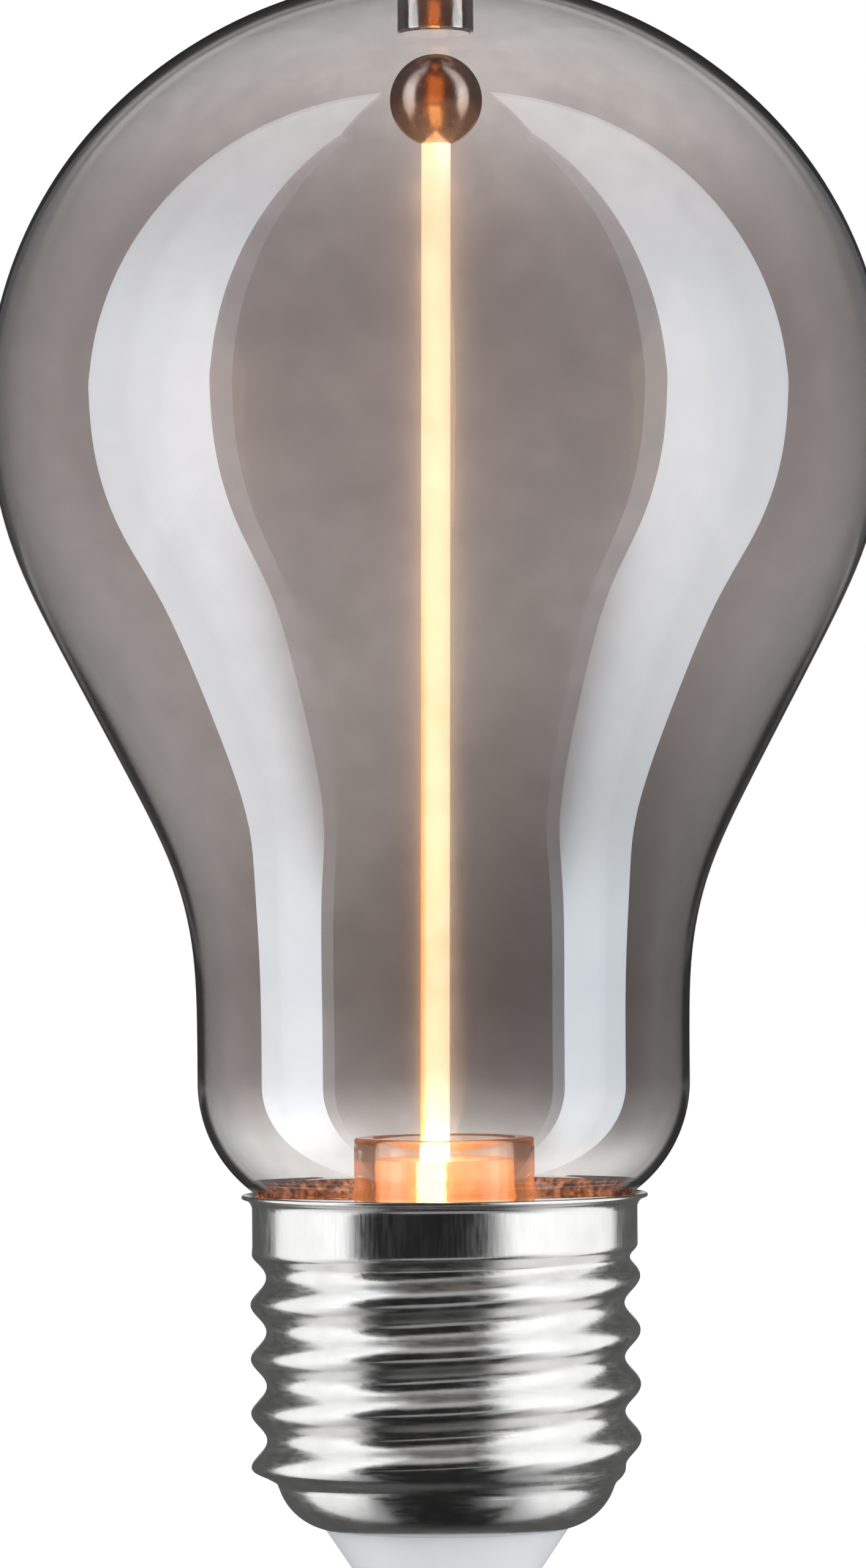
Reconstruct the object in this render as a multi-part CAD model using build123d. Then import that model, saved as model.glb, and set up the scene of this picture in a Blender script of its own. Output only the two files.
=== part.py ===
from build123d import *

import os
from math import acos, asin, cos, degrees, radians, sin, sqrt

# A pear-shaped LED lamp: a smoked glass bulb on an E27 screw cap, with one upright light rod whose top
# ball is held up by a magnet under the crown. Millimetres, +Z up. The origin is on the axis at the tip
# of the centre contact, and every height counts up from there.

# Screw shell: thin sheet, drawn, then rolled with the round thread
cap_length = 27.0  # contact tip to the top of the lip
shell_wall = 0.3
shell_floor = 4.6  # contact tip to the lowest point of the foot's curve
thread_major = 26.14
thread_minor = 24.02
thread_pitch = 3.629
thread_runout = 1.3  # least height over which the thread fades into the plain shell
crest_drop = 2.15  # foot of the skirt to the first crest on the +X side
rings_per_turn = 16
skirt_diameter = 25.84
skirt_length = 3.4  # plain shell above the thread, lip included
lip_curve = 0.7
lip_turn = 80  # degrees that the lip is flared through
foot_diameter = 22.5  # shell at the thread's lower end
foot_curve = 4.0
foot_lean = 17.5  # degrees that the foot leans in where the thread ends
foot_open = 0.82  # edge of the foot's hole, out from its curve's centre

# White insulator and centre contact
contact_ring = 1.05  # white face left round the contact
insulator_wall = 1.9
cup_wall = 1.0
cup_step = 0.2  # cup set in from the shell's narrowest bore
cup_floor = 1.6
cup_depth = 4.25  # cup's rim above its floor
boss_wall = 1.0
boss_height = 0.65  # boss above the cup's floor
contact_diameter = 9.0
contact_stand = 0.8  # contact below the insulator's face
contact_sink = 0.4  # contact let into that face
contact_edge = 0.5
pin_diameter = 2.4
pin_stand = 0.3  # pin above its boss

# Blown glass bulb
bulb_diameter = 60.5
crown_angle = 43.1  # degrees from the axis to where the crown's curve meets the cheek's
cheek_offset = 2.05  # centre of the cheek's curve, out from the axis
glass_wall = 0.8
flank_angle = 27.9  # degrees from the axis
flank_curve = 23.8  # hollow curve from the flank to the neck
neck_diameter = 33.0
neck_straight = 6.2
shoulder_curve = 9.1
throat_curve = 1.2  # hollow curve from the shoulder to the throat
throat_drop = 1.03  # rim down to the foot of that curve
throat_length = 1.25
cement_wall = 0.6
bead_turn = 50  # degrees of the lip's curve that the cement covers

# Glass stem with the collar round the rod's foot
collar_diameter = 12.1
collar_wall = 1.38
collar_rise = 3.7  # collar above the shell's rim
flare_curve = 2.8

# Light rod, ball and magnet
rod_diameter = 1.95
rod_lean = 0.5  # degrees about the ball's centre, with the rod's foot towards -X
rod_tail = 0.4  # rod below its plug
ball_diameter = 6.2
socket_depth = 2.2
magnet_diameter = 5.1
magnet_length = 2.5
magnet_edge = 0.25
magnet_gap = 1.4  # air between the ball and the magnet
glue_film = 0.4
glue_bead = 0.5  # glue squeezed out past the magnet
plug_rise = 2.1  # plug above the shell's rim
plug_length = 3.0
plug_creep = 0.15  # potting drawn up along the collar's wall
tab_width = 0.7
tab_thickness = 0.25
tab_length = 1.8
tab_pitch = 1.0

# Driver board in the cap
board_thickness = 1.0
board_back = -2.5  # Y of the board's rear face
board_seat = 0.85  # board's lower edge above the cup's floor
board_head = 1.0  # free height between the board and the stem
rib_width = 1.6  # how far the board's guides reach in over it
rib_wall = 1.0
rib_height = 3.55
wire_diameter = 0.7
wire_bend = 0.7
wire_rise = 1.2  # straight start of the live wire
wire_tail = 0.5  # wire end behind the board
pad_edge = 0.7  # board left outside a wire's hole
live_pad_across = -2.6
live_pad_level = 2.4
neutral_pad_level = 8.6
lead_pad_drop = 0.9
positive_pad_across = -0.7
negative_pad_across = 1.7

# Parts on the board: levels count up from its lower edge
part_gap = 0.3
leg_wire = 0.5  # bare legs of the through-hole parts
capacitor_diameter = 6.3
capacitor_edge = 0.6
capacitor_groove = 0.35
capacitor_bead = 1.4  # can's foot to its rolled groove
capacitor_level = 3.0
capacitor_head = 3.2  # board left above the can
capacitor_leg_pitch = 2.5
capacitor_leg_drop = 1.2
fuse_diameter = 2.4
fuse_waist = 2.0
fuse_length = 4.4
fuse_leg_reach = 0.9
package_level = 6.2
package_height = 1.5
package_width = 3.9
package_edge = 0.2
leg_thickness = 0.2
leg_reach = 0.5
leg_sole = 0.6
rectifier_length = 4.7
rectifier_leg_pitch = 2.5
rectifier_leg_width = 0.6
chip_length = 4.9
chip_leg_pitch = 1.27
chip_leg_width = 0.4
resistor_size = (2.0, 1.25, 0.5)
resistor_level = 1.6
resistor_gap = 1.3  # between the two, and from the first to the board's guide

# Clearances
fit = 0.05  # assembled parts
bond = 0.02  # cemented, glued, potted or soldered parts

# Radii and heights that follow
rim = cap_length
thread_top = rim - skirt_length
skirt_radius = skirt_diameter / 2
foot_radius = foot_diameter / 2
foot_level = shell_floor + foot_curve
foot_drop = foot_curve * sin(radians(foot_lean))
foot_height = foot_level - foot_drop
foot_centre = (foot_radius - foot_curve * cos(radians(foot_lean)), foot_level)
foot_bore_curve = foot_curve - shell_wall
foot_bore_lean = degrees(asin(foot_drop / foot_bore_curve))
foot_bore_across = foot_radius - shell_wall - foot_bore_curve * cos(radians(foot_bore_lean))
foot_bore_centre = (foot_bore_across, foot_level)
foot_hole_radius = foot_bore_across + foot_open
foot_end = degrees(acos(foot_open / foot_bore_curve))
foot_edge = foot_level - foot_curve * sin(radians(foot_end))
narrow_bore = min(foot_radius, thread_minor / 2) - shell_wall
thread_middle = (thread_major + thread_minor) / 4
thread_swing = (thread_major - thread_minor) / 4
skirt_runout = max(thread_runout, abs(thread_middle - skirt_radius))
foot_runout = max(thread_runout, abs(thread_middle - foot_radius))
lip_centre = (skirt_radius + lip_curve, rim - (lip_curve + shell_wall) * sin(radians(lip_turn)))

throat_radius = skirt_radius - shell_wall - cement_wall
throat_foot = rim - throat_drop
neck_end = throat_foot - throat_length
neck_radius = neck_diameter / 2
bulb_radius = bulb_diameter / 2
shoulder_reach = throat_radius + throat_curve - (neck_radius - shoulder_curve)
shoulder_turn = degrees(acos(shoulder_reach / (shoulder_curve + throat_curve)))
shoulder_top = throat_foot + (shoulder_curve + throat_curve) * sin(radians(shoulder_turn))
neck_top = shoulder_top + neck_straight
flank_cos = cos(radians(flank_angle))
flank_sin = sin(radians(flank_angle))
cheek_curve = bulb_radius - cheek_offset
crown_curve = cheek_curve + cheek_offset / sin(radians(crown_angle))
flank_reach = neck_radius + flank_curve - cheek_offset
girth_height = neck_top + (cheek_curve + flank_curve - flank_reach * flank_cos) / flank_sin
crown_height = girth_height - (crown_curve - cheek_curve) * cos(radians(crown_angle))
crown_top = crown_height + crown_curve
crown_inside = crown_top - glass_wall

collar_radius = collar_diameter / 2
collar_bore = collar_radius - collar_wall
collar_top = rim + collar_rise
flare_height = neck_end + flare_curve
plug_top = rim + plug_rise
plug_bottom = plug_top - plug_length
rod_radius = rod_diameter / 2
rod_bottom = plug_bottom - rod_tail
magnet_radius = magnet_diameter / 2
magnet_top = crown_inside - glue_film
magnet_bottom = magnet_top - magnet_length
ball_radius = ball_diameter / 2
ball_height = magnet_bottom - magnet_gap - ball_radius
socket_top = ball_height - ball_radius + socket_depth
rod_foot_across = -(ball_height - rod_bottom) * sin(radians(rod_lean))

pin_radius = pin_diameter / 2
contact_radius = contact_diameter / 2
contact_top = contact_stand + contact_sink
cup_bottom = shell_floor + shell_wall + fit
cup_inside = cup_bottom + cup_floor
cup_top = cup_inside + cup_depth
cup_radius = narrow_bore - fit - cup_step
cup_bore = cup_radius - cup_wall
boss_top = cup_inside + boss_height
pin_top = boss_top + pin_stand
board_face = board_back + board_thickness
board_low = cup_inside + board_seat
board_high = neck_end - collar_wall - board_head
board_half = sqrt(cup_bore**2 - board_back**2) - cup_wall
wire_radius = wire_diameter / 2
neutral_radius = narrow_bore - wire_radius - bond
capacitor_radius = capacitor_diameter / 2
fuse_radius = fuse_diameter / 2

# Places on the board, as (X, Z)
live_pad = (live_pad_across, board_low + live_pad_level)
neutral_pad = (-board_half + pad_edge + wire_radius, board_low + neutral_pad_level)
positive_pad = (positive_pad_across, board_high - lead_pad_drop)
negative_pad = (negative_pad_across, board_high - lead_pad_drop)
capacitor_across = board_half - rib_width - capacitor_radius
capacitor_out = board_face + capacitor_radius + fit
capacitor_low = board_low + capacitor_level
capacitor_high = board_high - capacitor_head
capacitor_leg_level = capacitor_low - capacitor_leg_drop
capacitor_legs = [
    (capacitor_across + side * capacitor_leg_pitch / 2, capacitor_leg_level) for side in (-1, 1)
]
fuse_across = neutral_pad[0] + wire_radius + part_gap + fuse_radius
fuse_out = board_face + fuse_radius + fit
fuse_middle = board_low + package_level
fuse_legs = [(fuse_across, fuse_middle + side * (fuse_length / 2 + fuse_leg_reach)) for side in (-1, 1)]
rectifier_across = fuse_across + leg_wire / 2 + part_gap + rectifier_length / 2
chip_across = rectifier_across + (rectifier_length + chip_length) / 2 + part_gap
rear = Plane(origin=(0, board_back - bond, 0), x_dir=(1, 0, 0), z_dir=(0, -1, 0))


def arc(centre, radius, start, sweep):
    """Arc of a profile, in degrees from the radial direction."""
    return CenterArc(centre, radius, start, sweep)


def lines(*points):
    """Straight runs of a profile through (radius, height) points."""
    return Polyline(*points).edges()


def turned(*edges):
    """Solid of revolution about the lamp's axis from a closed profile in (radius, height)."""
    return revolve(Plane.XZ * make_face(edges), Axis.Z)


def wire(diameter, bend, *points):
    """Round wire along straight runs with bent corners."""
    path = FilletPolyline(*points, radius=bend)
    section = Plane(origin=path @ 0, z_dir=path % 0) * Circle(diameter / 2)
    return sweep(section, path)


def ease(share):
    """Smooth rise from 0 to 1."""
    share = min(max(share, 0), 1)
    return share * share * (3 - 2 * share)


def thread_body(inset):
    """Threaded length of the cap as a stack of round sections.

    A section across a single-start round thread is a circle set off from the axis, and its centre
    climbs along a right-hand helix. Its offset fades out where the thread runs into the plain shell.
    """
    rings = round((thread_top - foot_height) / thread_pitch * rings_per_turn)
    sections = []
    for ring in range(rings + 1):
        height = foot_height + (thread_top - foot_height) * ring / rings
        upper = ease((thread_top - height) / skirt_runout)
        lower = ease((height - foot_height) / foot_runout)
        radius = thread_middle * (upper + lower - 1)
        radius += skirt_radius * (1 - upper) + foot_radius * (1 - lower)
        offset = thread_swing * upper * lower
        turn = 360 * (height - thread_top + crest_drop) / thread_pitch
        centre = (offset * cos(radians(turn)), offset * sin(radians(turn)), height)
        sections.append(Wire.make_circle(radius - inset, Plane(origin=centre)))
    return Solid.make_loft(sections)


def screw_shell():
    """Rolled thread between the flared skirt above and the turned-in foot below."""
    across, level = lip_centre
    lip_end = 180 - lip_turn
    edge_radius = lip_curve + shell_wall / 2
    edge_centre = (across + edge_radius * cos(radians(lip_end)), level + edge_radius * sin(radians(lip_end)))
    skirt = turned(
        lines((skirt_radius, thread_top), (skirt_radius, level)),
        arc(lip_centre, lip_curve, 180, -lip_turn),
        arc(edge_centre, shell_wall / 2, lip_end, -180),
        arc(lip_centre, lip_curve + shell_wall, 180, -lip_turn),
        lines(
            (skirt_radius - shell_wall, level),
            (skirt_radius - shell_wall, thread_top),
            (skirt_radius, thread_top),
        ),
    )
    outside = arc(foot_centre, foot_curve, -foot_end, foot_end - foot_lean)
    inside = arc(foot_bore_centre, foot_bore_curve, -foot_end, foot_end - foot_bore_lean)
    foot = turned(outside, inside, Line(outside @ 0, inside @ 0), Line(outside @ 1, inside @ 1))
    return thread_body(0) - thread_body(shell_wall) + skirt + foot


def standing_box(length, depth, height):
    """Box on the XY plane, centred on the axis."""
    return Box(length, depth, height, align=(Align.CENTER, Align.CENTER, Align.MIN))


def standing_rod(radius, height):
    """Round bar on the XY plane, centred on the axis."""
    return Cylinder(radius, height, align=(Align.CENTER, Align.CENTER, Align.MIN))


def base_insulator():
    """White cone outside the shell and cup inside it, with guides for the board and a wire notch."""
    neck = foot_hole_radius - fit
    cone_low = contact_radius + fit + contact_ring
    slope = (neck - cone_low) / (foot_edge - contact_stand)
    inner_wall = insulator_wall * sqrt(1 + slope**2)
    well_floor = contact_top + insulator_wall
    well_top_radius = neck - inner_wall + (cup_inside - foot_edge) * slope
    well_low_radius = neck - inner_wall - (foot_edge - well_floor) * slope
    boss_radius = pin_radius + boss_wall
    seat_curve = foot_bore_curve - fit
    seat_low = degrees(acos((neck - foot_bore_across) / seat_curve))
    seat_high = degrees(asin(foot_drop / seat_curve))
    seat = arc(foot_bore_centre, seat_curve, -seat_low, seat_low - seat_high)
    body = turned(
        seat,
        lines(
            seat @ 1,
            (cup_radius, foot_height),
            (cup_radius, cup_top),
            (cup_bore, cup_top),
            (cup_bore, cup_inside),
            (well_top_radius, cup_inside),
            (well_low_radius, well_floor),
            (boss_radius, well_floor),
            (boss_radius, boss_top),
            (pin_radius + fit, boss_top),
            (pin_radius + fit, contact_top),
            (contact_radius + fit, contact_top),
            (contact_radius + fit, contact_stand),
            (cone_low, contact_stand),
            (neck, foot_edge),
            seat @ 0,
        ),
    )
    guide_length = rib_width + cup_wall
    guide_depth = board_thickness + 2 * (fit + rib_wall)
    guide_across = board_half - rib_width + guide_length / 2
    guide_middle = board_back + board_thickness / 2
    for side in (-1, 1):
        place = Pos(side * guide_across, guide_middle, cup_inside)
        body += place * standing_box(guide_length, guide_depth, rib_height)
    slot = standing_box(2 * (board_half + fit), board_thickness + 2 * fit, cup_top - board_low)
    notch_low = foot_height + wire_diameter
    notch = standing_box(2 * cup_wall, wire_diameter + 2 * fit, cup_top - notch_low)
    body -= Pos(0, guide_middle, board_low) * slot
    return body - Pos(-(cup_radius - cup_wall / 2), 0, notch_low) * notch


def centre_contact():
    """Pressed button with a rounded edge, and its pin up through the insulator."""
    return turned(
        arc((contact_radius - contact_edge, contact_edge), contact_edge, -90, 90),
        lines(
            (contact_radius, contact_edge),
            (contact_radius, contact_top),
            (pin_radius, contact_top),
            (pin_radius, pin_top),
            (0, pin_top),
            (0, 0),
            (contact_radius - contact_edge, 0),
        ),
    )


def bulb_line(inset):
    """Half outline of the blown glass from the crown's pole to the neck's end, set in by a wall."""
    crown = arc((0, crown_height), crown_curve - inset, 90 - crown_angle, crown_angle)
    cheek_turn = 90 - crown_angle + flank_angle
    cheek = arc((cheek_offset, girth_height), cheek_curve - inset, -flank_angle, cheek_turn)
    hollow = arc((neck_radius + flank_curve, neck_top), flank_curve + inset, 180 - flank_angle, flank_angle)
    shoulder = arc(
        (neck_radius - shoulder_curve, shoulder_top), shoulder_curve - inset, -shoulder_turn, shoulder_turn
    )
    throat = arc(
        (throat_radius + throat_curve, throat_foot), throat_curve + inset, 180 - shoulder_turn, shoulder_turn
    )
    flank = Line(cheek @ 0, hollow @ 0)
    neck = Line(hollow @ 1, shoulder @ 1)
    end = Line(throat @ 1, (throat_radius - inset, neck_end))
    return [crown, cheek, flank, hollow, neck, shoulder, throat, end]


def glass_bulb():
    """Blown bulb of even wall, open at the neck's end."""
    outside = bulb_line(0)
    inside = bulb_line(glass_wall)
    pole = Line(inside[0] @ 1, outside[0] @ 1)
    neck_edge = Line(inside[-1] @ 1, outside[-1] @ 1)
    return turned(outside, inside, pole, neck_edge)


def cement_ring():
    """Cement between the throat and the skirt, standing as a bead between the glass and the lip."""
    glass_side = arc((throat_radius + throat_curve, throat_foot), throat_curve - bond, 180, -shoulder_turn)
    shell_side = arc(lip_centre, lip_curve + shell_wall + bond, 180, -bead_turn)
    low = thread_top + bond
    return turned(
        glass_side,
        shell_side,
        Line(glass_side @ 1, shell_side @ 1),
        Line(glass_side @ 0, (throat_radius + bond, low)),
        Line((throat_radius + bond, low), (skirt_radius - shell_wall - bond, low)),
        Line((skirt_radius - shell_wall - bond, low), shell_side @ 0),
    )


def glass_stem():
    """Flare sealed under the neck's end, drawn up into a thick collar with a fire-polished rim."""
    flare_centre = (collar_radius + flare_curve, flare_height)
    rim_centre = (collar_radius - collar_wall / 2, collar_top - collar_wall / 2)
    upper = arc(flare_centre, flare_curve, 180, 90)
    lower = arc(flare_centre, flare_curve + collar_wall, 180, 90)
    polished = arc(rim_centre, collar_wall / 2, 0, 180)
    return turned(
        polished,
        Line(polished @ 0, upper @ 0),
        upper,
        lines(
            upper @ 1,
            (throat_radius, neck_end),
            (throat_radius, neck_end - collar_wall),
            lower @ 1,
        ),
        lower,
        Line(lower @ 0, polished @ 1),
    )


def leaned(shape):
    """A shape drawn on the axis, turned with the rod about the ball's centre."""
    return Pos(0, 0, ball_height) * Rot(0, rod_lean, 0) * Pos(0, 0, -ball_height) * shape


def filament_plug():
    """Potting that fills the collar round the rod's foot."""
    outer = collar_bore - fit
    inner = rod_radius + bond
    potting = turned(
        lines(
            (0, plug_bottom),
            (outer, plug_bottom),
            (outer, plug_top + plug_creep),
            (inner, plug_top),
            (0, plug_top),
            (0, plug_bottom),
        )
    )
    return potting - leaned(standing_rod(inner, socket_top))


def filament_terminals():
    """Two tabs below the rod's foot."""
    tab = Box(tab_width, tab_thickness, tab_length, align=(Align.CENTER, Align.CENTER, Align.MAX))
    return Compound([leaned(Pos(side * tab_pitch / 2, 0, rod_bottom) * tab) for side in (-1, 1)])


def filament_rod():
    """Round light rod from its tabs up into the ball's socket."""
    return leaned(Pos(0, 0, rod_bottom) * standing_rod(rod_radius, socket_top - bond - rod_bottom))


def filament_ball():
    """Ball with a blind socket for the rod."""
    return Pos(0, 0, ball_height) * Sphere(ball_radius) - leaned(standing_rod(rod_radius + bond, socket_top))


def crown_magnet():
    """Plated cylinder with broken edges."""
    magnet = standing_rod(magnet_radius, magnet_length)
    magnet = fillet(magnet.edges().filter_by(GeomType.CIRCLE), magnet_edge)
    return Pos(0, 0, magnet_bottom) * magnet


def magnet_glue():
    """Clear adhesive between the magnet's flat top and the round crown."""
    reach = magnet_radius + glue_bead
    seat_radius = crown_curve - glass_wall - bond
    edge_angle = degrees(acos(reach / seat_radius))
    seat = arc((0, crown_height), seat_radius, edge_angle, 90 - edge_angle)
    low = magnet_top + bond
    return turned(seat, lines(seat @ 1, (0, low), (magnet_radius, low), seat @ 0))


def legged_package(length, legs, leg_pitch, leg_width):
    """Moulded package with a row of bent legs along both sides, standing on the XY plane."""
    stand = leg_thickness / 2
    knee = stand + package_height / 2
    side = package_width / 2
    shin = side + leg_reach
    leg_outline = Polyline(
        (side, knee),
        (shin, knee),
        (shin, leg_thickness),
        (shin + leg_sole, leg_thickness),
        (shin + leg_sole, 0),
        (shin - leg_thickness, 0),
        (shin - leg_thickness, knee - leg_thickness),
        (side, knee - leg_thickness),
        close=True,
    )
    leg = extrude(Plane.YZ * make_face(leg_outline.edges()), leg_width / 2, both=True)
    moulding = standing_box(length, package_width, package_height)
    package = Pos(0, 0, stand) * chamfer(moulding.edges().group_by(Axis.Z)[-1], package_edge)
    for number in range(legs):
        along = (number - (legs - 1) / 2) * leg_pitch
        package += Pos(along, 0, 0) * leg
        package += Pos(along, 0, 0) * Rot(0, 0, 180) * leg
    return package


def driver_board():
    """Upright board in the cup's guides, drilled for the wires and legs."""
    middle = board_back + board_thickness / 2
    board = Pos(0, middle, board_low) * standing_box(2 * board_half, board_thickness, board_high - board_low)
    leg_hole = Rot(90, 0, 0) * Cylinder(leg_wire / 2 + fit, 2 * board_thickness)
    wire_hole = Rot(90, 0, 0) * Cylinder(wire_radius + fit, 2 * board_thickness)
    for across, level in capacitor_legs + fuse_legs:
        board -= Pos(across, middle, level) * leg_hole
    for across, level in (live_pad, neutral_pad, positive_pad, negative_pad):
        board -= Pos(across, middle, level) * wire_hole
    return board


def bent_leg(start, corner, level):
    """Bare leg from inside its part, out to a corner and through the board."""
    across, out = corner
    return wire(leg_wire, leg_wire, start, (across, out, level), (across, board_back - wire_tail, level))


def smoothing_capacitor():
    """Electrolytic can with a rolled groove above its foot, and two legs bent into the board."""
    height = capacitor_high - capacitor_low
    shoulder = height - capacitor_edge
    edge_radius = capacitor_radius - capacitor_edge
    can = turned(
        Line((0, 0), (edge_radius, 0)),
        arc((edge_radius, capacitor_edge), capacitor_edge, -90, 90),
        Line((capacitor_radius, capacitor_edge), (capacitor_radius, capacitor_bead - capacitor_groove)),
        arc((capacitor_radius, capacitor_bead), capacitor_groove, 90, 180),
        Line((capacitor_radius, capacitor_bead + capacitor_groove), (capacitor_radius, shoulder)),
        arc((edge_radius, shoulder), capacitor_edge, 0, 90),
        lines((edge_radius, height), (0, height), (0, 0)),
    )
    can = Pos(capacitor_across, capacitor_out, capacitor_low) * can
    for across, level in capacitor_legs:
        inside = (across, capacitor_out, capacitor_low + capacitor_edge)
        can += bent_leg(inside, (across, capacitor_out), level)
    return can


def fuse_resistor():
    """Axial resistor standing along the board, with swollen ends and two legs bent into the board."""
    waist = fuse_waist / 2
    swell = fuse_radius - waist
    cap_low = fuse_length / 4
    cap_top = fuse_length / 2
    half = turned(
        lines((0, 0), (waist, 0), (waist, cap_low), (fuse_radius, cap_low + swell)),
        Line((fuse_radius, cap_low + swell), (fuse_radius, cap_top - swell)),
        arc((waist, cap_top - swell), swell, 0, 90),
        lines((waist, cap_top), (0, cap_top), (0, 0)),
    )
    resistor = Pos(fuse_across, fuse_out, fuse_middle) * (half + mirror(half, Plane.XY))
    for across, level in fuse_legs:
        resistor += bent_leg((across, fuse_out, fuse_middle), (across, fuse_out), level)
    return resistor


def bridge_rectifier():
    """Four-legged package on the board's rear."""
    package = legged_package(rectifier_length, 2, rectifier_leg_pitch, rectifier_leg_width)
    return rear * Pos(rectifier_across, fuse_middle, 0) * package


def driver_chip():
    """Eight-legged package on the board's rear."""
    package = legged_package(chip_length, 4, chip_leg_pitch, chip_leg_width)
    return rear * Pos(chip_across, fuse_middle, 0) * package


def chip_resistors():
    """Two small resistors on the board's rear."""
    body = standing_box(*resistor_size)
    level = board_low + resistor_level
    first = rib_width - board_half + resistor_gap + resistor_size[0] / 2
    second = first + resistor_size[0] + resistor_gap
    return Compound([rear * Pos(across, level, 0) * body for across in (first, second)])


def live_wire():
    """From the contact's pin to the board."""
    across, level = live_pad
    return wire(
        wire_diameter,
        wire_bend,
        (0, 0, pin_top),
        (0, 0, pin_top + wire_rise),
        (across, 0, level),
        (across, board_back - wire_tail, level),
    )


def neutral_wire():
    """From the shell's inside, up the cup's notch and over to the board."""
    across, level = neutral_pad
    return wire(
        wire_diameter,
        wire_bend,
        (-neutral_radius, 0, foot_height + wire_diameter + fit),
        (-neutral_radius, 0, level - (neutral_radius + across)),
        (across, 0, level),
        (across, board_back - wire_tail, level),
    )


def rod_lead(side, pad):
    """From one of the rod's tabs down to the board."""
    across, level = pad
    beside = tab_thickness / 2 + wire_radius + bond
    return wire(
        wire_diameter,
        wire_bend,
        (rod_foot_across + side * tab_pitch / 2, beside, rod_bottom - wire_diameter),
        (across, beside, level),
        (across, board_back - wire_tail, level),
    )


nodes = {
    "centre_contact": centre_contact(),
    "base_insulator": base_insulator(),
    "screw_shell": screw_shell(),
    "neutral_wire": neutral_wire(),
    "live_wire": live_wire(),
    "driver_board": driver_board(),
    "smoothing_capacitor": smoothing_capacitor(),
    "bridge_rectifier": bridge_rectifier(),
    "driver_chip": driver_chip(),
    "fuse_resistor": fuse_resistor(),
    "chip_resistors": chip_resistors(),
    "cement_ring": cement_ring(),
    "glass_stem": glass_stem(),
    "filament_plug": filament_plug(),
    "filament_terminals": filament_terminals(),
    "positive_lead": rod_lead(-1, positive_pad),
    "negative_lead": rod_lead(1, negative_pad),
    "filament_rod": filament_rod(),
    "filament_ball": filament_ball(),
    "crown_magnet": crown_magnet(),
    "magnet_glue": magnet_glue(),
    "glass_bulb": glass_bulb(),
}

os.makedirs("parts", exist_ok=True)
for name, shape in nodes.items():
    shape.label = name
    export_step(shape, f"parts/{name}.step")
print(f"overall length {crown_top:.2f} mm, rod {socket_top - rod_bottom:.2f} mm")
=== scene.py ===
from math import acos, cos, pi, radians, sin, tan

import bmesh
import bpy
from mathutils import Matrix, Vector


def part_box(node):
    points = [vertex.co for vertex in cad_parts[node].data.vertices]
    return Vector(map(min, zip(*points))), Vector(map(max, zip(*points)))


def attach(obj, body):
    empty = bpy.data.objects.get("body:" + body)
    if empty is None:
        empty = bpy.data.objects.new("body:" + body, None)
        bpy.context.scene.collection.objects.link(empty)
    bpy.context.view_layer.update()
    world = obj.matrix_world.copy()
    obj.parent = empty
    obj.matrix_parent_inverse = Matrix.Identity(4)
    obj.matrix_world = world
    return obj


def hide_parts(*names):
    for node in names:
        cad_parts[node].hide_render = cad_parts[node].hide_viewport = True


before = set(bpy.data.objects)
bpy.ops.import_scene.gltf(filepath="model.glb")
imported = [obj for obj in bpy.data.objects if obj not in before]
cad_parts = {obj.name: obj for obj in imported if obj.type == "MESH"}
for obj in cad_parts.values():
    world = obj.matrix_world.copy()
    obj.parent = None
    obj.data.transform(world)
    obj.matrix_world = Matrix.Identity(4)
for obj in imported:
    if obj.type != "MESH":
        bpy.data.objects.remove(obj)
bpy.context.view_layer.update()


# Centre contact: a button of nickelled brass with a pin, pressed into the white insulator. The holder's
# spring has left its flat with fine scuffs in every direction.
class Signal:
    """A value in a finish's node tree: arithmetic on it adds Math nodes."""

    def __init__(self, tree, socket=None):
        self.tree = tree
        self.socket = socket

    def node(self, kind, settings=None, inputs=None, output=0):
        """Any other node: its type, its settings, then the values or links of its sockets."""
        made = self.tree.nodes.new(kind)
        for name, value in (settings or {}).items():
            if name == "stops":
                stops = made.color_ramp.elements
                while len(stops) < len(value):
                    stops.new(1.0)
                for stop, (place, shade) in zip(stops, value):
                    stop.position = place
                    stop.color = (*shade, 1.0)
            else:
                setattr(made, name, value)
        for name, value in (inputs or {}).items():
            if isinstance(value, Signal):
                self.tree.links.new(value.socket, made.inputs[name])
            else:
                made.inputs[name].default_value = value
        return Signal(self.tree, made.outputs[output] if made.outputs else None)

    def maths(self, operation, first, second):
        return self.node("ShaderNodeMath", {"operation": operation}, {0: first, 1: second})

    def __add__(self, other):
        return self.maths("ADD", self, other)

    def __radd__(self, other):
        return self.maths("ADD", other, self)

    def __sub__(self, other):
        return self.maths("SUBTRACT", self, other)

    def __rsub__(self, other):
        return self.maths("SUBTRACT", other, self)

    def __mul__(self, other):
        return self.maths("MULTIPLY", self, other)

    def __rmul__(self, other):
        return self.maths("MULTIPLY", other, self)

    def __lt__(self, other):
        return self.maths("LESS_THAN", self, other)

    def __gt__(self, other):
        return self.maths("GREATER_THAN", self, other)


def new_finish(name):
    """A finish with an empty node tree, and the place on the piece that its patterns follow."""
    finish = bpy.data.materials.new(name)
    finish.use_nodes = True
    finish.node_tree.nodes.clear()
    signal = Signal(finish.node_tree)
    return finish, signal, signal.node("ShaderNodeTexCoord", output="Object")


def grain(place, scale, detail, stretch=(1.0, 1.0, 1.0)):
    """Cloudy grain from 0 to 1 over the piece, finer with a larger scale in features per metre."""
    spread = place.node("ShaderNodeMapping", None, {"Vector": place, "Scale": stretch})
    return place.node("ShaderNodeTexNoise", None, {"Vector": spread, "Scale": scale, "Detail": detail})


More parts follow.
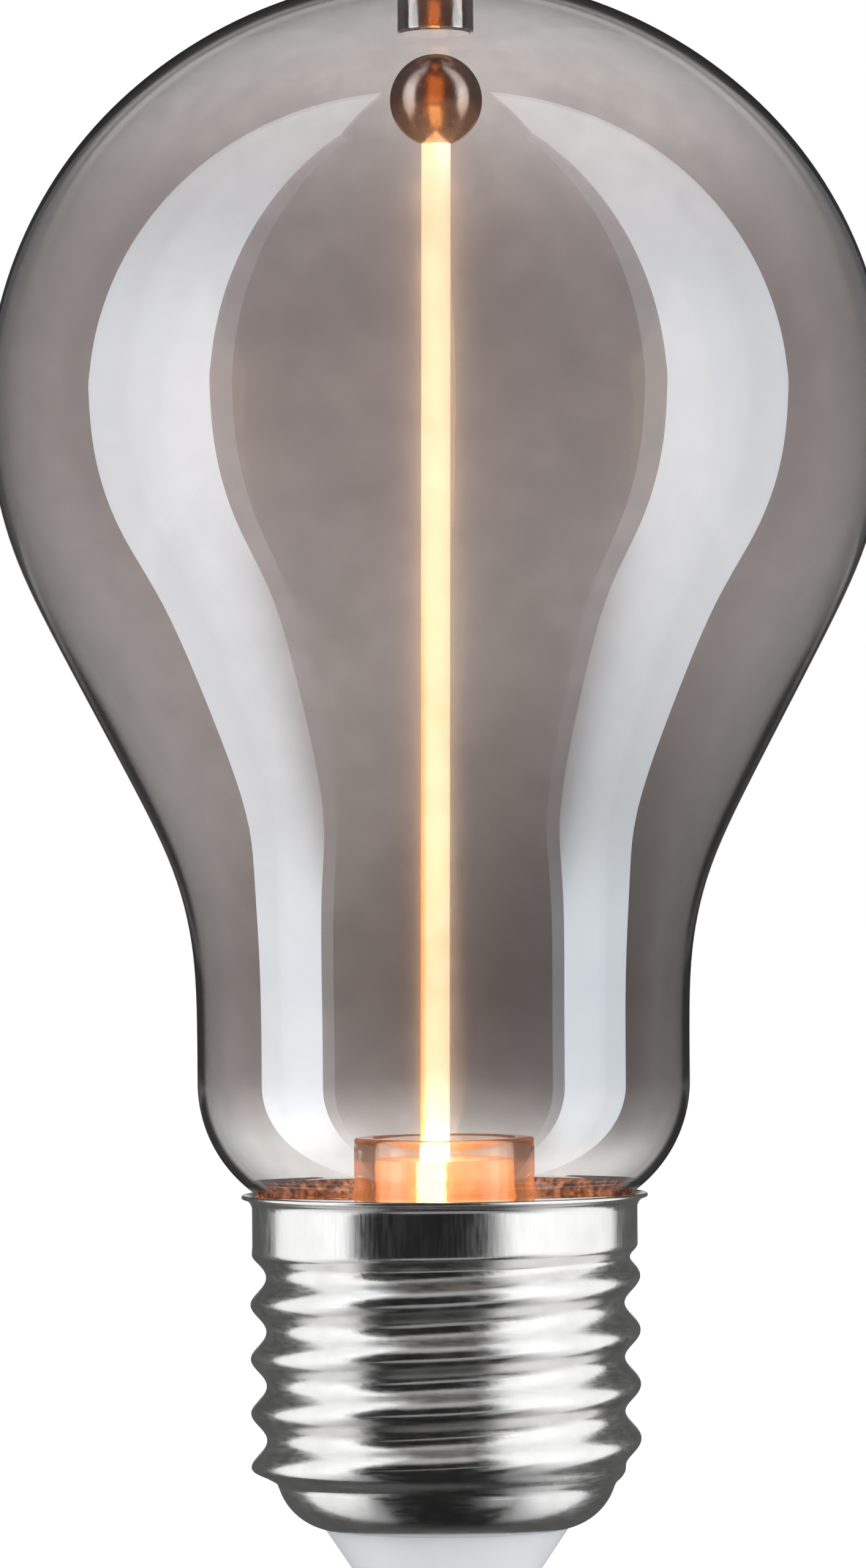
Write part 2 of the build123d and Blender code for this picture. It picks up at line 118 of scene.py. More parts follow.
def span(signal, low, high, low_value=0.0, high_value=1.0):
    """A soft step from low_value to high_value as the signal goes from low to high."""
    limits = {"Value": signal, "From Min": low, "From Max": high, "To Min": low_value, "To Max": high_value}
    return signal.node("ShaderNodeMapRange", {"interpolation_type": "SMOOTHSTEP"}, limits)


def tint(signal, *stops):
    """A colour that follows the signal from stop to stop."""
    return signal.node("ShaderNodeValToRGB", {"stops": stops}, {"Fac": signal})


def bumps(height, depth):
    """Fine relief, as deep in metres as depth where the height goes from 0 to 1."""
    return height.node("ShaderNodeBump", None, {"Height": height, "Distance": depth}, "Normal")


def shade(signal, values):
    """The finish's shader, joined to its output."""
    shader = signal.node("ShaderNodeBsdfPrincipled", None, values)
    signal.node("ShaderNodeOutputMaterial", None, {"Surface": shader})


def dress(node, finish):
    """A CAD node keeps its mesh and takes this finish."""
    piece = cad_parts[node]
    piece.data.materials.clear()
    piece.data.materials.append(finish)


contact_nickel, s, place = new_finish("contact nickel")
scuffs = grain(place, 4200.0, 4.0, (1.0, 0.12, 1.0)) * 0.5 + grain(place, 3600.0, 4.0, (0.12, 1.0, 1.0)) * 0.5
shade(
    s,
    {
        "Base Color": tint(scuffs, (0.3, (0.6, 0.57, 0.52)), (0.7, (0.78, 0.76, 0.72))),
        "Metallic": 1.0,
        "Roughness": span(scuffs, 0.35, 0.65, 0.22, 0.42),
        "Normal": bumps(scuffs, 0.00002),
    },
)
dress("centre_contact", contact_nickel)

# Base insulator: one white moulding, a cone under the cap and a cup inside it, which the shell's foot is
# turned in over. Satin, with the faint flow marks of its mould.
white_moulding, s, place = new_finish("white moulding")
flow = grain(place, 260.0, 3.0)
skin = grain(place, 9000.0, 2.0)
shade(
    s,
    {
        "Base Color": tint(flow, (0.3, (0.84, 0.86, 0.9)), (0.7, (0.88, 0.9, 0.93))),
        "Roughness": span(flow, 0.3, 0.7, 0.36, 0.48),
        "Normal": bumps(skin, 0.00001),
    },
)
dress("base_insulator", white_moulding)

# Screw shell: thin sheet, drawn to a cup, rolled with the round thread, flared at the lip and nickelled.
# Drawing leaves fine upright lines on the plain skirt, rolling leaves marks that run with the thread.
shell_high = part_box("screw_shell")[1]
skirt_height = 0.0034
skirt_foot = shell_high.z - skirt_height
thread_run_out = 0.0006


def along(place, axis):
    """How far along one of the lamp's axes a place lies."""
    return place.node("ShaderNodeSeparateXYZ", None, {"Vector": place}, axis)


bright_nickel, s, place = new_finish("bright nickel")
height = along(place, "Z")
drawn = grain(place, 5200.0, 3.0, (1.0, 1.0, 0.08))
rolled = grain(place, 5200.0, 3.0, (0.16, 0.16, 1.0))
on_skirt = span(height, skirt_foot - thread_run_out, skirt_foot)
marks = drawn * on_skirt + rolled * (1.0 - on_skirt)
cloud = grain(place, 420.0, 3.0)
shade(
    s,
    {
        "Base Color": tint(cloud, (0.3, (0.7, 0.69, 0.67)), (0.7, (0.78, 0.77, 0.755))),
        "Metallic": 1.0,
        "Roughness": span(marks * 0.7 + cloud * 0.3, 0.35, 0.65, 0.18, 0.27),
        "Normal": bumps(drawn * on_skirt * 1.2 + rolled * (1.0 - on_skirt) * 0.35, 0.000002),
    },
)
dress("screw_shell", bright_nickel)

# Wires in the cap: stranded copper in a thin coat, pale to the shell and the rod's plus side, dark to the
# contact and the minus side, soldered to the board.
for finish_name, wire_slot, wire_nodes, shades in (
    (
        "pale wire coat",
        "pale_wire",
        ("neutral_wire", "positive_lead"),
        ((0.78, 0.77, 0.72), (0.87, 0.86, 0.82)),
    ),
    (
        "dark wire coat",
        "dark_wire",
        ("live_wire", "negative_lead"),
        ((0.025, 0.025, 0.027), (0.05, 0.05, 0.05)),
    ),
):
    coat, s, place = new_finish(finish_name)
    ripple = grain(place, 1800.0, 2.0)
    shade(
        s,
        {
            "Base Color": tint(ripple, (0.35, shades[0]), (0.65, shades[1])),
            "Roughness": span(ripple, 0.3, 0.7, 0.34, 0.5),
            "Normal": bumps(ripple, 0.00002),
        },
    )
    for node in wire_nodes:
        dress(node, coat)

# Driver board: pressed paper laminate, stamped to shape, standing in the insulator's guides. Its surface
# shows the paper's fibres.
laminate, s, place = new_finish("board laminate")
fibre = grain(place, 2600.0, 5.0, (1.0, 1.0, 0.3))
shade(
    s,
    {
        "Base Color": tint(fibre, (0.3, (0.66, 0.58, 0.38)), (0.7, (0.8, 0.74, 0.54))),
        "Roughness": span(fibre, 0.3, 0.7, 0.5, 0.68),
        "Normal": bumps(fibre, 0.00003),
    },
)
dress("driver_board", laminate)

# Parts on the board: an electrolytic can in its shrunk sleeve, two moulded packages, chip resistors and a
# lacquered fuse resistor, all soldered.
for finish_name, part_slot, part_nodes, scale, shades, gloss in (
    (
        "capacitor sleeve",
        "capacitor_sleeve",
        ("smoothing_capacitor",),
        900.0,
        ((0.05, 0.06, 0.08), (0.09, 0.1, 0.13)),
        (0.28, 0.4),
    ),
    (
        "moulded epoxy",
        "black_moulding",
        ("bridge_rectifier", "driver_chip", "chip_resistors"),
        6000.0,
        ((0.025, 0.025, 0.026), (0.055, 0.055, 0.056)),
        (0.5, 0.68),
    ),
    (
        "resistor lacquer",
        "resistor_lacquer",
        ("fuse_resistor",),
        1500.0,
        ((0.26, 0.44, 0.38), (0.36, 0.55, 0.48)),
        (0.25, 0.4),
    ),
):
    coat, s, place = new_finish(finish_name)
    speck = grain(place, scale, 4.0)
    shade(
        s,
        {
            "Base Color": tint(speck, (0.3, shades[0]), (0.7, shades[1])),
            "Roughness": span(speck, 0.3, 0.7, *gloss),
            "Normal": bumps(speck, 0.00002),
        },
    )
    for node in part_nodes:
        dress(node, coat)

# Glass stem: clear glass, flared and fused to the end of the neck, with the short collar tube that stands
# round the rod's foot. Its rim is cut square and fire-polished. The rod's light that the glass carries is
# painted
# as a glow: an emission strongest in the collar and where it meets the plug's top.
stem_low, stem_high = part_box("glass_stem")
plug_low, plug_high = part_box("filament_plug")
collar_radius = 0.00605
collar_wall = 0.00138
flare_curve = 0.0028
rim_round = 0.00022
crease_angle = radians(40)
glass_index = 1.5
neck_end = stem_low.z + collar_wall


def arc_from(mesh, end, centre_x, centre_z, turn, steps):
    """Carries an outline in the XZ plane on from its end vertex, round a centre, and gives the new end."""
    swept = bmesh.ops.spin(
        mesh, geom=[end], cent=(centre_x, 0.0, centre_z), axis=(0.0, 1.0, 0.0), angle=turn, steps=steps
    )
    return swept["geom_last"][0]


def line_from(mesh, end, to_x, to_z, steps):
    """Carries an outline straight on from its end vertex, and gives the new end."""
    step = (Vector((to_x, 0.0, to_z)) - end.co) / steps
    for _ in range(steps):
        end = bmesh.ops.extrude_vert_indiv(mesh, verts=[end])["verts"][0]
        end.co += step
    return end


def turn_round(mesh, steps):
    """Spins the outline round the lamp's axis to a closed skin that faces outwards."""
    bmesh.ops.spin(
        mesh,
        geom=mesh.verts[:] + mesh.edges[:],
        cent=(0.0, 0.0, 0.0),
        axis=(0.0, 0.0, 1.0),
        angle=2 * pi,
        steps=steps,
        use_merge=True,
    )
    bmesh.ops.remove_doubles(mesh, verts=mesh.verts[:], dist=1e-7)
    bmesh.ops.recalc_face_normals(mesh, faces=mesh.faces[:])


def piece_from(mesh, name, finish):
    """The finished piece as an object on the lamp's one body, in place of its CAD node."""
    data = bpy.data.meshes.new(name)
    mesh.to_mesh(data)
    mesh.free()
    data.shade_smooth()
    data.set_sharp_from_angle(angle=crease_angle)
    data.materials.append(finish)
    piece = bpy.data.objects.new(name, data)
    bpy.context.scene.collection.objects.link(piece)
    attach(piece, "root")
    return piece


def from_axis(place):
    """How far from the lamp's axis a place lies."""
    flat = place.node("ShaderNodeVectorMath", {"operation": "MULTIPLY"}, {0: place, 1: (1.0, 1.0, 0.0)})
    return place.node("ShaderNodeVectorMath", {"operation": "LENGTH"}, {0: flat}, "Value")


stem = bmesh.new()
end = stem.verts.new((collar_radius, 0.0, stem_high.z))
end = line_from(stem, end, collar_radius, neck_end + flare_curve, 4)
end = arc_from(stem, end, collar_radius + flare_curve, neck_end + flare_curve, -pi / 2, 12)
line_from(stem, end, stem_high.x, neck_end, 3)
turn_round(stem, 128)
if stem.faces[0].normal.dot(stem.faces[0].calc_center_median()) < 0.0:
    bmesh.ops.reverse_faces(stem, faces=stem.faces[:])
bmesh.ops.solidify(stem, geom=stem.faces[:], thickness=collar_wall)
rim_edges = [
    edge
    for edge in stem.edges
    if all(vert.co.z > stem_high.z - 1e-6 for vert in edge.verts) and abs(edge.calc_face_angle(0.0)) > 1.0
]
bmesh.ops.bevel(
    stem, geom=rim_edges, offset=rim_round, affect="EDGES", segments=3, profile=0.5, material=-1
)

clear_glass, s, place = new_finish("clear glass")
cords = grain(place, 240.0, 2.0, (1.0, 1.0, 0.35))
reach = from_axis(place)
height = along(place, "Z")
slant = s.node("ShaderNodeLayerWeight", None, {"Blend": 0.5}, "Facing")
# Painted glow: this emission stands in for the rod's light carried in the glass, strongest in the collar at
# the plug's top.
plug_glow_band = span(height, plug_high.z + 0.0002, plug_high.z - 0.0004) * span(slant, 0.3, 0.5)
painted_piped_glow = span(reach, 0.0085, 0.0062) * (0.6 + cords * 0.4) * (0.3 + plug_glow_band * 0.7)
shade(
    s,
    {
        "Base Color": tint(cords, (0.3, (0.86, 0.76, 0.66)), (0.7, (0.93, 0.86, 0.8))),
        "Roughness": 0.0,
        "IOR": glass_index,
        "Transmission Weight": 1.0,
        "Emission Color": tint(
            painted_piped_glow, (0.0, (0.01, 0.004, 0.002)), (0.3, (0.07, 0.02, 0.005)), (1.0, (0.34, 0.11, 0.035))
        ),
        "Emission Strength": 1.0,
        "Normal": bumps(cords, 0.0002),
    },
)
collar = piece_from(stem, "stem_and_collar", clear_glass)
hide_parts("glass_stem")
collar.visible_shadow = False

# Filament plug: amber potting cast into the collar round the rod's foot, drawn up a little along the glass.
# Its top is grainy and full of fine bubbles. Its glow is painted: an emission stands in for the rod's light,
# brightest near the rod.
potting, s, place = new_finish("amber potting")
bubbles = s.node("ShaderNodeTexVoronoi", None, {"Vector": place, "Scale": 1700.0}, "Distance")
clots = grain(place, 900.0, 4.0)
height = along(place, "Z")
reach = from_axis(place)
near_rod = span(reach, plug_high.x, 0.0012)
near_top = span(height, plug_low.z, plug_high.z)
# Painted glow: the rod's light on the potting, brightest near the rod, a little at the top, mottled by the
# clots.
lit_by_rod = near_rod * 0.6 + near_top * 0.2 + clots * 0.3
shade(
    s,
    {
        "Base Color": tint(clots, (0.3, (0.95, 0.7, 0.45)), (0.7, (1.0, 0.93, 0.8))),
        "Roughness": span(clots, 0.3, 0.7, 0.1, 0.2),
        "IOR": 1.45,
        "Transmission Weight": 0.7,
        "Emission Color": tint(
            lit_by_rod, (0.0, (0.2, 0.05, 0.012)), (0.5, (0.5, 0.17, 0.045)), (1.0, (1.0, 0.6, 0.25))
        ),
        "Emission Strength": 1.0,
        "Normal": bumps(bubbles * 0.5 + clots * 0.5, 0.00004),
    },
)
dress("filament_plug", potting)

# Filament terminals: two stamped tabs that come out of the rod's lower end, under the plug. They were dipped
# in tin, and the leads from the board are soldered to them.
tinned, s, place = new_finish("tinned tab")
dip = grain(place, 3000.0, 3.0)
shade(
    s,
    {
        "Base Color": tint(dip, (0.3, (0.62, 0.61, 0.59)), (0.7, (0.78, 0.77, 0.75))),
        "Metallic": 1.0,
        "Roughness": span(dip, 0.3, 0.7, 0.3, 0.5),
        "Normal": bumps(dip, 0.00003),
    },
)
dress("filament_terminals", tinned)

# Light rod: a row of light chips in a round coat of phosphor and silicone, lit. It is whitest at both ends,
# and its coat glows deeper orange along one side of the lower half.
rod_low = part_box("filament_rod")[0]
ball_low, ball_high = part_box("filament_ball")
ball_middle = (ball_low.z + ball_high.z) / 2
rod_radius = 0.000975
rod_lean = radians(0.5)
rod_light = 8.4
foot_glow_top = rod_low.z + 0.0057
foot_glow_full = rod_low.z + 0.003


def toned(colour, level):
    """A colour times a level."""
    inputs = {0: 1.0, 6: colour, 7: level}
    return level.node("ShaderNodeMix", {"data_type": "RGBA", "blend_type": "MULTIPLY"}, inputs, 2)


light_coat, s, place = new_finish("light rod coat")
height = along(place, "Z")
across = along(place, "X") + (ball_middle - height) * tan(rod_lean)
chips = grain(place, 700.0, 2.0)
warm_side = span(across, -0.5 * rod_radius, -1.0 * rod_radius) * span(height, 0.075, 0.055)
core = span(across, -0.3 * rod_radius, 0.5 * rod_radius) * span(height, 0.092, 0.098)
foot = span(height, foot_glow_top, foot_glow_full)
warmth = tint(
    chips * 0.16 + 0.42 - warm_side * 0.5 + core * 0.4 + foot * 0.5,
    (0.0, (0.5, 0.15, 0.02)),
    (0.3, (0.51, 0.29, 0.11)),
    (0.5, (0.52, 0.37, 0.24)),
    (1.0, (0.62, 0.5, 0.42)),
)
level = 0.66 + span(height, 0.062, 0.044, 0.0, 0.34) + span(height, 0.086, 0.096, 0.0, -0.14) + foot * 0.3
shade(
    s,
    {
        "Base Color": tint(chips, (0.3, (0.86, 0.62, 0.26)), (0.7, (0.94, 0.76, 0.4))),
        "Roughness": span(chips, 0.3, 0.7, 0.42, 0.55),
        "Emission Color": toned(warmth, level),
        "Emission Strength": rod_light,
    },
)
dress("filament_rod", light_coat)


# Filament ball: polished steel, bored from below and pushed over the rod's top end. Lapped in upright
# strokes, it smears what it mirrors up and down. The rod's warm glow on its lower half is painted, as a warm
# base colour and an emission low down, and the smeared lobe has a painted orange reflection colour.
def share(signal, low, high):
    """An even rise from 0 to 1 as the signal goes from low to high."""
    return signal.node("ShaderNodeMapRange", None, {"Value": signal, "From Min": low, "From Max": high})


polished_steel, s, place = new_finish("polished steel")
lapping = grain(place, 1500.0, 2.0, (1.0, 1.0, 0.4))
latitude = share(along(place, "Z"), ball_low.z, ball_high.z) + (lapping - 0.5) * 0.1
steel = {"Metallic": 1.0, "Anisotropic Rotation": 0.25, "Normal": bumps(lapping, 0.00001)}
# Painted glow: the warm base colour low on the ball and the emission stand in for the rod's light.
mirror_with_painted_glow = {
    "Base Color": tint(
        latitude,
        (0.0, (0.9, 0.55, 0.32)),
        (0.3, (0.86, 0.64, 0.5)),
        (0.55, (0.82, 0.74, 0.69)),
        (0.8, (0.8, 0.72, 0.67)),
    ),
    "Roughness": span(lapping, 0.3, 0.7, 0.2, 0.28),
    "Anisotropic": 0.5,
    "Emission Color": tint(
        latitude,
        (0.0, (0.14, 0.045, 0.012)),
        (0.3, (0.05, 0.013, 0.004)),
        (0.6, (0.012, 0.004, 0.002)),
        (0.9, (0.0, 0.0, 0.0)),
    ),
    "Emission Strength": 1.0,
}
# Painted reflection: the smeared lobe's orange colour stands in for the rod's glow mirrored in the steel.
brushed_with_painted_glow = {
    "Base Color": tint(latitude, (0.1, (1.0, 0.8, 0.55)), (0.4, (1.0, 0.55, 0.26)), (0.8, (0.9, 0.32, 0.14))),
    "Roughness": span(lapping, 0.3, 0.7, 0.5, 0.56),
    "Anisotropic": 0.95,
}
mirror_with_painted_glow = s.node("ShaderNodeBsdfPrincipled", None, {**steel, **mirror_with_painted_glow})
brushed_with_painted_glow = s.node("ShaderNodeBsdfPrincipled", None, {**steel, **brushed_with_painted_glow})
lapped = s.node("ShaderNodeMixShader", None, {0: span(lapping, 0.3, 0.7, 0.15, 0.3), 1: mirror_with_painted_glow, 2: brushed_with_painted_glow})
s.node("ShaderNodeOutputMaterial", None, {"Surface": lapped})
dress("filament_ball", polished_steel)

# Crown magnet: a short pressed cylinder with a bright plate, glued under the crown. It pulls the ball up
# across the air gap and so keeps the rod straight.
magnet_plate, s, place = new_finish("magnet plate")
pressing = grain(place, 3000.0, 3.0, (1.0, 1.0, 0.3))
shade(
    s,
    {
        "Base Color": tint(pressing, (0.3, (0.72, 0.71, 0.7)), (0.7, (0.82, 0.81, 0.8))),
        "Metallic": 1.0,
        "Roughness": span(pressing, 0.3, 0.7, 0.08, 0.14),
        "Normal": bumps(pressing, 0.00001),
    },
)
dress("crown_magnet", magnet_plate)

# Magnet glue: a film of clear adhesive between the magnet and the crown. It was squeezed out a little all
# round, and cured glossy.
clear_glue, s, place = new_finish("clear glue")
cure = grain(place, 800.0, 3.0)
shade(
    s,
    {
        "Base Color": tint(cure, (0.3, (0.82, 0.81, 0.76)), (0.7, (0.92, 0.91, 0.88))),
        "Roughness": span(cure, 0.3, 0.7, 0.1, 0.25),
        "IOR": 1.47,
        "Transmission Weight": 0.8,
        "Normal": bumps(cure, 0.00005),
    },
)
dress("magnet_glue", clear_glue)

# Glass bulb: blown in a mould to a pear shape, an even thin wall, smoked by a metal vapour that is thickest
# at the neck, thins out over the crown and stops short of the cap.
bulb_low, bulb_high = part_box("glass_bulb")
bulb_radius = bulb_high.x
glass_wall = 0.0005
crown_angle = radians(43.1)
cheek_offset = 0.00205
cheek_curve = bulb_radius - cheek_offset
crown_curve = cheek_curve + cheek_offset / sin(crown_angle)
crown_height = bulb_high.z - crown_curve
girth_height = crown_height + (crown_curve - cheek_curve) * cos(crown_angle)
flank_angle = radians(27.9)
flank_curve = 0.0238
neck_radius = 0.0165
neck_straight = 0.0062
shoulder_curve = 0.0091
throat_curve = 0.0012
throat_straight = 0.00125
throat_radius = stem_high.x
throat_foot = bulb_low.z + throat_straight
shoulder_centre = neck_radius - shoulder_curve
shoulder_turn = acos((throat_radius + throat_curve - shoulder_centre) / (shoulder_curve + throat_curve))
shoulder_top = throat_foot + (shoulder_curve + throat_curve) * sin(shoulder_turn)
neck_top = shoulder_top + neck_straight
bulb_centre = (0.0, 0.0, 0.045)
flank_smoothing = 16
smoothed_neck = 0.004
film_index = 3.7
haze_roughness = 0.27

glass = bmesh.new()
end = glass.verts.new((0.0, 0.0, bulb_high.z))
end = arc_from(glass, end, 0.0, crown_height, crown_angle, 28)
end = arc_from(glass, end, cheek_offset, girth_height, pi / 2 - crown_angle + flank_angle, 44)
end = line_from(
    glass,
    end,
    neck_radius + flank_curve - flank_curve * cos(flank_angle),
    neck_top + flank_curve * sin(flank_angle),
    11,
)
end = arc_from(glass, end, neck_radius + flank_curve, neck_top, -flank_angle, 14)
end = line_from(glass, end, neck_radius, shoulder_top, 7)
end = arc_from(glass, end, shoulder_centre, shoulder_top, shoulder_turn, 24)
end = arc_from(glass, end, throat_radius + throat_curve, throat_foot, -shoulder_turn, 10)
line_from(glass, end, throat_radius, bulb_low.z, 2)
for _ in range(flank_smoothing):
    bmesh.ops.smooth_vert(
        glass,
        verts=[vert for vert in glass.verts if neck_top - smoothed_neck < vert.co.z < girth_height],
        factor=0.5,
        use_axis_x=True,
        use_axis_z=True,
    )
turn_round(glass, 160)
bmesh.ops.solidify(glass, geom=glass.faces[:], thickness=glass_wall)

smoked_glass, s, place = new_finish("smoked glass")
height = along(place, "Z")
across = along(place, "X")
depth = along(place, "Y")
cloud = grain(place, 75.0, 3.0)
rise = share(height, bulb_low.z, bulb_high.z) + (cloud - 0.5) * 0.05
smoke_and_painted_edges = tint(
    rise,
    (0.0, (0.96, 0.95, 0.94)),
    (0.06, (0.95, 0.92, 0.9)),
    (0.12, (0.51, 0.47, 0.46)),
    (0.2, (0.44, 0.4, 0.385)),
    (0.3, (0.52, 0.48, 0.465)),
    (0.47, (0.65, 0.605, 0.59)),
    (0.6, (0.655, 0.6, 0.59)),
    (0.77, (0.6, 0.55, 0.545)),
    (0.83, (0.655, 0.61, 0.6)),
    (0.9, (0.82, 0.78, 0.765)),
    (1.0, (0.88, 0.86, 0.85)),
)
# Below the girth one side is lighter than the other, near the crown that side is a little darker, and the
# tint is finely mottled.
to_one_side = span(across, -neck_radius, neck_radius, 1.0, -1.0)
below_girth = span(height, 0.07, 0.047, 0.04, 0.26) * span(height, 0.0285, 0.0315)
uneven = 1.0 + to_one_side * (below_girth - span(height, 0.084, 0.096, 0.0, 0.08))
fine_speckle = span(grain(place, 420.0, 4.0), 0.3, 0.7, 0.96, 1.04)
broad_speckle = span(grain(place, 140.0, 2.0), 0.3, 0.7, 0.97, 1.03)
smoke_and_painted_edges = toned(smoke_and_painted_edges, uneven * (fine_speckle * broad_speckle))
# Seen edge-on the glass is painted lighter, and a dark line along the outline is painted shade, strongest low
# on the bulb.
facing = s.node("ShaderNodeNewGeometry", output="Normal")
middle = s.node("ShaderNodeVectorMath", {"operation": "SUBTRACT"}, {0: place, 1: bulb_centre})
outward = s.node("ShaderNodeVectorMath", {"operation": "DOT_PRODUCT"}, {0: facing, 1: middle}, "Value") > 0.0
entering = 1.0 - s.node("ShaderNodeNewGeometry", output="Backfacing")
slant = s.node("ShaderNodeLayerWeight", None, {"Blend": 0.5}, "Facing")
painted_edge_light = (1.0, 1.0, 1.0, 1.0)
smoke_and_painted_edges = s.node("ShaderNodeMix", {"data_type": "RGBA"}, {0: span(slant, 0.3, 0.75), 6: smoke_and_painted_edges, 7: painted_edge_light}, 2)
low_down = span(height, 0.068, 0.058)
painted_outline_shade = entering * outward * span(slant + low_down * 0.08, 0.79, 0.87) * (0.65 + low_down * 0.27)
smoke_and_painted_edges = toned(smoke_and_painted_edges, 1.0 - painted_outline_shade)
# It mirrors on the outer skin. On the inner skin an orange metal mirror paints warm reflections, in an
# upright strip at the front and faintly over the upper bulb.
outer = span(height, 0.0275, 0.033) * span(height, 0.053, 0.045, 0.78, 1.0)
outer = outer * span(height, 0.082, 0.099, 1.0, 0.25) * span(slant, 0.55, 0.76, 1.0, 0.1)
front = span(depth, 0.0, -0.004) * span(across * across, 0.00016, 0.00003)
inner = front * span(height, 0.036, 0.05, 0.0, 0.5) + (1.0 - front) * span(height, 0.066, 0.08, 0.0, 0.1)
wall = {
    "Base Color": smoke_and_painted_edges,
    "IOR": glass_index,
    "Transmission Weight": 1.0,
    "Coat Weight": entering * outward * outer,
    "Coat Roughness": 0.0,
    "Coat IOR": film_index,
}
clear = s.node("ShaderNodeBsdfPrincipled", None, {**wall, "Roughness": 0.0})
hazy = s.node("ShaderNodeBsdfPrincipled", None, {**wall, "Roughness": haze_roughness})
haze = span(height, 0.098, 0.09, 0.01, 0.26) * span(height, 0.03, 0.036, 0.2, 1.0)
film = s.node("ShaderNodeMixShader", None, {0: haze, 1: clear, 2: hazy})
# Painted reflection: an orange metal mirror on the inner skin, which warms what the magnet and ball mirror.
painted_warm_mirror = {
    "Base Color": tint(rise, (0.78, (1.0, 0.75, 0.42)), (0.93, (1.0, 0.42, 0.16))),
    "Metallic": 1.0,
    "Roughness": 0.0,
}
painted_warm_mirror = s.node("ShaderNodeBsdfPrincipled", None, painted_warm_mirror)
film = s.node("ShaderNodeMixShader", None, {0: entering * (1.0 - outward) * inner, 1: film, 2: painted_warm_mirror})
s.node("ShaderNodeOutputMaterial", None, {"Surface": film})
bulb = piece_from(glass, "smoked_bulb", smoked_glass)
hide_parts("glass_bulb")
bulb.visible_shadow = False

# Cement ring: capping cement pressed into the shell's rim before the glass goes in, and baked. It sets to a
# coarse, crumbly ring that shows through the glass of the neck. Towards its outer edge it is painted darker,
# as shade, and an emission paints the rod's orange glow on its lighter crumbs.
cement, s, place = new_finish("capping cement")
lumps = grain(place, 1500.0, 5.0)
pores = s.node("ShaderNodeTexVoronoi", None, {"Vector": place, "Scale": 2200.0}, "Distance")
reach = from_axis(place)
cement_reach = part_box("cement_ring")[1].x
# Painted shade: the crumbs darken towards the ring's outer edge.
crumbs_and_painted_shade = lumps - span(reach, cement_reach - 0.0012, cement_reach - 0.0002, 0.0, 0.14)
shade(
    s,
    {
        "Base Color": tint(
            crumbs_and_painted_shade, (0.3, (0.07, 0.03, 0.02)), (0.45, (0.34, 0.12, 0.05)), (0.65, (0.62, 0.33, 0.18))
        ),
        "Roughness": span(lumps, 0.3, 0.7, 0.75, 0.95),
        # Painted glow: this emission stands in for the rod's orange light on the lighter crumbs.
        "Emission Color": tint(
            crumbs_and_painted_shade, (0.36, (0.0, 0.0, 0.0)), (0.46, (0.16, 0.045, 0.012)), (0.62, (0.42, 0.14, 0.045))
        ),
        "Emission Strength": 1.0,
        "Normal": bumps(lumps * 0.6 + pores * 0.4, 0.0008),
    },
)
dress("cement_ring", cement)

# Studio: a pale floor, a white backdrop and three soft lamps. Two tall light panels stand at the sides, with
# fainter cards beside and behind them and one low card before the cap, and show only as mirror images in the
# glass and the metal. In front of the lamp the room is dark.
dark_room = 0.015
even_light = 0.65
plain_white = (1.0, 1.0, 1.0, 1.0)


def ray(signal, kind):
    """What a light path tells of the ray that meets the studio."""
    return signal.node("ShaderNodeLightPath", output=kind)


world = bpy.data.worlds.new("studio")
bpy.context.scene.world = world
world.use_nodes = True
world.cycles.sampling_method = "NONE"
world.node_tree.nodes.clear()
s = Signal(world.node_tree)
seen = ray(s, "Is Camera Ray")
through = ray(s, "Is Transmission Ray")
glossy = ray(s, "Glossy Depth") > 0.5
diffuse = ray(s, "Diffuse Depth") > 0.5
facing = s.node("ShaderNodeTexCoord", output="Generated")
behind = along(facing, "Y")
above = along(facing, "Z")
sharp = ray(s, "Is Singular Ray") * (1.0 - through)
white = seen + through * (1.0 - glossy) * (1.0 - diffuse) * span(behind, 0.3, 0.6)
room = dark_room + span(behind, 0.985, 0.995, 0.0, 0.9) * (1.0 - 0.7 * sharp)
room = room + (1.0 - sharp) * span(behind, 0.1, 0.5, 0.0, 0.08)
room = room + through * span(above, -0.75, -0.92, 0.0, 0.5)
room = room + through * span(behind, 0.85, 0.95, 0.0, 1.6) * span(above, -0.04, -0.1)
room = room + (1.0 - sharp) * (1.0 - through) * span(above, 0.65, 0.88, 0.0, 0.5)
inside = (1.0 - diffuse) * (1.0 - (1.0 - glossy) * (1.0 - through))
level = white + (1.0 - white) * (inside * room + (1.0 - inside) * even_light)
sky = s.node("ShaderNodeBackground", None, {"Color": plain_white, "Strength": level})
s.node("ShaderNodeOutputWorld", None, {"Surface": sky})


def stage_piece(mesh, name, finish):
    """A piece of the studio, which isn't part of the lamp."""
    data = bpy.data.meshes.new(name)
    mesh.to_mesh(data)
    mesh.free()
    data.materials.append(finish)
    finish.cycles.emission_sampling = "NONE"
    piece = bpy.data.objects.new(name, data)
    bpy.context.scene.collection.objects.link(piece)
    piece.visible_diffuse = False
    return piece


